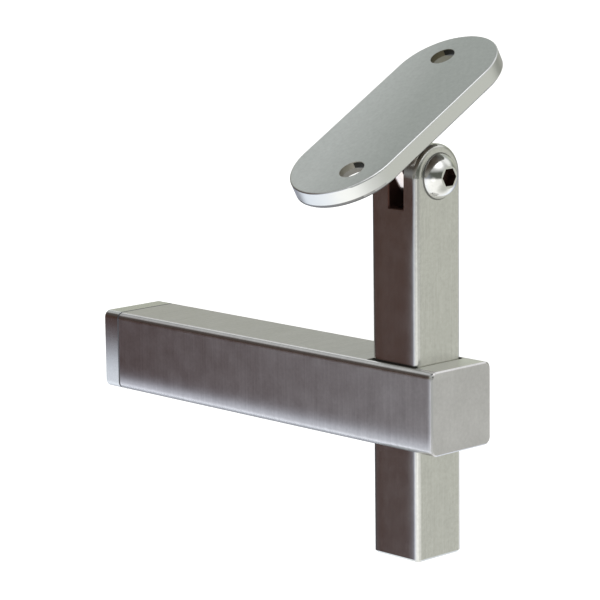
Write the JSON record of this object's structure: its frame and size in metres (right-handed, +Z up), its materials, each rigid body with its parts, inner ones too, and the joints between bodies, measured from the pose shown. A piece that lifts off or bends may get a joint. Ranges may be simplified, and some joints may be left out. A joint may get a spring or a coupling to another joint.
{
  "type": "handrail bracket",
  "caption": "Square wall bracket for a handrail: a horizontal bar carries a height-adjustable square post, which is topped by a tilting oval saddle plate.",
  "frame": {"origin": "centre of the wall face, where the axis of the arm meets the wall", "axes": "+Y into the wall along the stud, so the arm stands out along -Y; +Z up, along the post; X along the handrail, whose plate rises towards +X"},
  "size_m": [0.0575, 0.117, 0.1214],
  "materials": {
    "satin_steel": "satin stainless steel with a faint lengthwise grain",
    "plate_steel": "fine matte stainless steel",
    "screw_steel": "bright stainless steel"
  },
  "bodies": {
    "arm": {"arm": "satin_steel", "wall_collar": "satin_steel", "collar_set_screw": "screw_steel", "post_clamp_screw": "screw_steel"},
    "post": {"post": "satin_steel", "pivot_screw": "screw_steel"},
    "saddle": {"saddle_plate": "plate_steel", "saddle_lug": "plate_steel"}
  },
  "joints": [
    {"name": "post_height", "type": "slide", "parent": "arm", "child": "post", "axis": [0, 0, 1], "range_m": [-0.034, 0.026]},
    {"name": "saddle_tilt", "type": "hinge", "parent": "post", "child": "saddle", "pos_m": [0, -0.1033, 0.054], "axis": [0, -1, 0], "range_deg": [-119.5, 60.5]}
  ]
}
